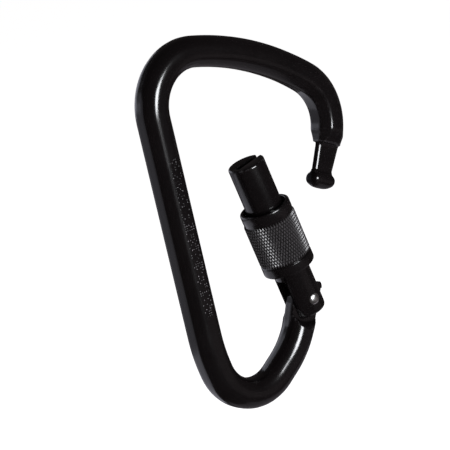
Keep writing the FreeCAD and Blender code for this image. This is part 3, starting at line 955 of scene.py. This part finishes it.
# The strip's first dot, its base sunk a hair into the front face. Its X runs down the spine.
MARKS_START = (-17.6, -BAR_FRONT + 0.005, -23.5)
MARKS_TURN = Matrix(((0, 1, 0), (0, 0, -1), (-1, 0, 0))).to_4x4()


def make_spine_marks():
    """Rows of peened dots on the front of the spine: a plain pattern that spells nothing."""
    mesh = make_marks_rule().grow("spine_marks", Material=mark_finish)
    mesh.transform(Matrix.Translation(Vector(MARKS_START) * MM) @ MARKS_TURN)
    note_edges(mesh)
    add_piece("spine_marks", mesh, mark_finish, "frame", "anodised_frame")


# ------------------------------------------------------------------ gate, sleeve, rivet

# The gate's own frame: its axis is Z and the hinge is at 0. Heights on the gate are along it.
ON_GATE = Matrix.Translation(HINGE * MM) @ Matrix.Rotation(math.radians(-GATE_ANGLE), 4, "Y")
GATE_RADIUS = 5.85
GATE_TAIL, GATE_TIP = -4.9, 48.1
TAIL_ROUNDING, TIP_ROUNDING = 1.5, 0.7
GATE_BEVEL, GATE_BEVEL_ANGLE = 0.14, 35
# Slots in the gate: half thickness, lowest and highest X, lowest and highest Z.
NOSE_SLOT = (1.24, -3.95, 9.0, 40.6, 49.0)
NOSE_ROOM = (3.0, -4.5, 9.0, 33.6, 41.1)
FORK_SLOT = (2.2, -9.0, 9.0, -6.0, 9.0)
SPRING_BORE = 2.3
SPRING_BORE_FOOT, SPRING_BORE_TOP = 8.0, 26.0
THREAD_FOOT, THREAD_LENGTH, THREAD_TURNS, THREAD_RIDGE = 14.1, 17.3, 11.5, 0.52
SPRING_FOOT, SPRING_LENGTH, SPRING_TURNS = 11.5, 14.2, 11.0
SPRING_RADIUS, SPRING_WIRE = 1.75, 0.14


def cutter_box(half_thickness, low_x, high_x, low_z, high_z):
    points = [(x, y, z) for x in (low_x, high_x) for y in (-half_thickness, half_thickness)
              for z in (low_z, high_z)]
    faces = [(0, 1, 3, 2), (4, 6, 7, 5), (0, 4, 5, 1), (2, 3, 7, 6), (0, 2, 6, 4), (1, 5, 7, 3)]
    mesh = mesh_from("cutter", points, faces)
    face_outwards(mesh)
    return mesh


def cut(mesh, cutters):
    """The mesh with the cutters taken away and the slivers that this leaves merged."""
    body = bpy.data.objects.new("blank", mesh)
    bpy.context.scene.collection.objects.link(body)
    tools = []
    for cutter in cutters:
        tool = bpy.data.objects.new("cutter", cutter)
        bpy.context.scene.collection.objects.link(tool)
        tools.append(tool)
        modifier = body.modifiers.new("cut", "BOOLEAN")
        modifier.operation = "DIFFERENCE"
        modifier.solver = "EXACT"
        modifier.object = tool
    result = plain_copy(body)
    for tool in tools:
        bpy.data.objects.remove(tool)
    shape = bmesh.new()
    shape.from_mesh(result)
    bmesh.ops.remove_doubles(shape, verts=shape.verts, dist=0.03 * MM)
    bmesh.ops.dissolve_degenerate(shape, edges=shape.edges, dist=0.01 * MM)
    shape.to_mesh(result)
    shape.free()
    return result


def bevelled(mesh, width, angle, segments=2):
    """The mesh with a bevel on the edges that turn by more than this many degrees."""
    obj = bpy.data.objects.new("bevelled", mesh)
    bpy.context.scene.collection.objects.link(obj)
    modifier = obj.modifiers.new("bevel", "BEVEL")
    modifier.width = width * MM
    modifier.segments = segments
    modifier.limit_method = "ANGLE"
    modifier.angle_limit = math.radians(angle)
    modifier.use_clamp_overlap = False
    return plain_copy(obj)


def make_gate_barrel(helix):
    """The barrel, slotted for the nose and forked at the hinge, with the ridges of its thread."""
    profile = rounded_profile([
        (0, GATE_TAIL, 0), (GATE_RADIUS, GATE_TAIL, TAIL_ROUNDING),
        (GATE_RADIUS, GATE_TIP, TIP_ROUNDING), (0, GATE_TIP, 0)])
    blank = turned("gate_blank", profile, segments=96)
    bore = turned("cutter", [(0, SPRING_BORE_FOOT), (SPRING_BORE, SPRING_BORE_FOOT),
                             (SPRING_BORE, SPRING_BORE_TOP), (0, SPRING_BORE_TOP)], segments=40)
    slots = [cutter_box(*slot) for slot in (NOSE_SLOT, NOSE_ROOM, FORK_SLOT)]
    shape = bevelled(cut(blank, slots + [bore]), GATE_BEVEL, GATE_BEVEL_ANGLE)
    thread = helix.grow(
        "gate_thread", Radius=GATE_RADIUS * MM, Start=THREAD_FOOT * MM, Height=THREAD_LENGTH * MM,
        Turns=THREAD_TURNS, Wire_Radius=THREAD_RIDGE * MM, Thin_Share=0.04,
        Material=barrel_finish)
    mesh = joined("gate_barrel", shape, thread)
    mesh.transform(ON_GATE)
    shade(mesh, sharp_angle=32)
    note_edges(mesh, soft=0.5, sharp=2.5)
    add_piece("gate_barrel", mesh, barrel_finish, "gate", "anodised_gate", "gate")


SLEEVE_FOOT, SLEEVE_HEAD = 11.3, 32.9
SLEEVE_BORE, SLEEVE_MOUTH = 6.48, 6.95
BORE_END, MOUTH_END = 15.8, 16.2
KNURL_FOOT, KNURL_HEAD = 14.6, 30.1
KNURL_VALLEY, SLEEVE_RADIUS, RING_RADIUS = 8.03, 8.33, 8.08
KNURL_AROUND, KNURL_ROW_STEP = 56, 1.04
KNURL_LEAD = 0.15                           # from the lower band to the valley's start
TEETH_FOOT, TEETH_HEAD = KNURL_FOOT + 0.3, KNURL_HEAD - 0.2
TOOTH_HEIGHT, TOOTH_SINK, TOOTH_FLAT_SHARE = 0.33, 0.03, 0.3
TOOTH_TOP = 0.22                            # this far above the valley counts as a tooth's top


def note_tooth_tops(mesh):
    """Writes the attribute edge: 1 on the tops of the knurl's teeth, 0 in its valleys and off
    the knurl. The finish makes these tops lighter: partly rubbed, partly a painted glint."""
    values = []
    for vert in mesh.vertices:
        radius, height = math.hypot(vert.co.x, vert.co.y) / MM, vert.co.z / MM
        on_knurl = TEETH_FOOT < height < TEETH_HEAD
        values.append((radius - KNURL_VALLEY) / TOOTH_TOP if on_knurl else 0.0)
    write_edge(mesh, values)


def make_locking_sleeve():
    """The screw sleeve: a turned tube with a knurl between a smooth lower band and top ring."""
    profile = rounded_profile([
        (SLEEVE_BORE, SLEEVE_FOOT, 0.15), (SLEEVE_RADIUS, SLEEVE_FOOT, 0.85),
        (SLEEVE_RADIUS, KNURL_FOOT - 0.1, 0.1), (KNURL_VALLEY, KNURL_FOOT + KNURL_LEAD, 0.05),
        (KNURL_VALLEY, KNURL_HEAD - 0.1, 0), (RING_RADIUS, KNURL_HEAD, 0),
        (RING_RADIUS, SLEEVE_HEAD, 0.6), (SLEEVE_MOUTH, SLEEVE_HEAD, 0.25),
        (SLEEVE_MOUTH, MOUTH_END, 0), (SLEEVE_BORE, BORE_END, 0)])
    body = turned("sleeve_body", profile, segments=3 * KNURL_AROUND, closed=True)
    shade(body, sharp_angle=50)
    rows = int((KNURL_HEAD - KNURL_FOOT) / KNURL_ROW_STEP) - 1
    start = KNURL_FOOT + KNURL_LEAD + KNURL_ROW_STEP
    teeth = make_knurl_rule().grow(
        "knurl", Radius=(KNURL_VALLEY - TOOTH_SINK) * MM, Start=start * MM,
        Row_Step=KNURL_ROW_STEP * MM, Around=KNURL_AROUND, Rows=rows,
        Tooth_Height=TOOTH_HEIGHT * MM, Flat_Share=TOOTH_FLAT_SHARE, Material=sleeve_finish)
    mesh = joined("locking_sleeve_shell", body, teeth)
    note_tooth_tops(mesh)
    mesh.transform(ON_GATE)
    add_piece("locking_sleeve_shell", mesh, sleeve_finish, "sleeve", "anodised_sleeve",
              "locking_sleeve")
    # The teeth take the knurl's finish, whose lighter tops are partly a painted glint.
    mesh.materials.append(knurl_wear_and_glint_finish)
    for face in mesh.polygons[len(body.polygons):]:
        face.material_index = 1


# Half of the rivet, from the top of its head to the shaft: radius, and height from the middle.
RIVET_HALF = [(0, 6.30), (0.75, 6.24), (1.35, 6.06), (1.78, 5.76), (2.02, 5.45), (1.7, 5.3)]


def make_rivet():
    """The hinge rivet: a shaft with a low domed head at each end."""
    profile = [(radius, -height) for radius, height in RIVET_HALF] + RIVET_HALF[::-1]
    mesh = turned("rivet", profile, segments=48)
    mesh.transform(Matrix.Translation(HINGE * MM) @ Matrix.Rotation(math.radians(90), 4, "X"))
    shade(mesh, sharp_angle=60)
    note_edges(mesh)
    add_piece("rivet", mesh, rivet_finish, "gate", "rivet_steel", "hinge_rivet")


def make_spring(helix):
    """The spring at the length that it has with the gate open."""
    mesh = helix.grow(
        "spring_coil", Radius=SPRING_RADIUS * MM, Start=SPRING_FOOT * MM,
        Height=SPRING_LENGTH * MM, Turns=SPRING_TURNS, Wire_Radius=SPRING_WIRE * MM,
        Thin_Share=0.002, Material=spring_finish)
    mesh.transform(ON_GATE)
    add_piece("spring_coil", mesh, spring_finish, "gate", "spring_steel", "gate_spring")


def finish_plunger():
    """The plunger keeps its CAD shape and gets a better finish."""
    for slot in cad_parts["plunger"].material_slots:
        slot.material = plunger_finish


def make_floor():
    """A plain pale floor far below. It glows, so that it looks as pale as the room."""
    size, low = FLOOR_HALF_WIDTH, cad_box[0][2] - FLOOR_DROP * MM
    corners = [(-size, -size, low), (size, -size, low), (size, size, low), (-size, size, low)]
    mesh = bpy.data.meshes.new("floor")
    mesh.from_pydata(corners, [], [(0, 1, 2, 3)])
    floor = bpy.data.objects.new("floor", mesh)
    bpy.context.scene.collection.objects.link(floor)
    finish = Finish("pale_floor")
    cloud = finish.effect(satin_grain, Grain_Scale=300.0, Cloud_Scale=3.0)["Cloud"]
    finish.colour(finish.mix_colour(cloud, (0.90, 0.90, 0.90), (0.94, 0.94, 0.94)))
    finish.roughness(cloud, 0.8, 0.9)
    finish.shader.inputs["Emission Color"].default_value = WHITE
    finish.shader.inputs["Emission Strength"].default_value = FLOOR_GLOW
    mesh.materials.append(finish.material)
    floor.visible_glossy = False
    floor.visible_shadow = False


# ------------------------------------------------------------------ the whole

add_camera()
add_world()
for soft_box in PANELS:
    add_panel(*soft_box)
bpy.context.scene.view_settings.view_transform = "Standard"

helix_rule = make_helix_rule()
make_frame_bar()
make_spine_marks()
make_gate_barrel(helix_rule)
make_locking_sleeve()
make_rivet()
make_spring(helix_rule)
finish_plunger()
make_floor()
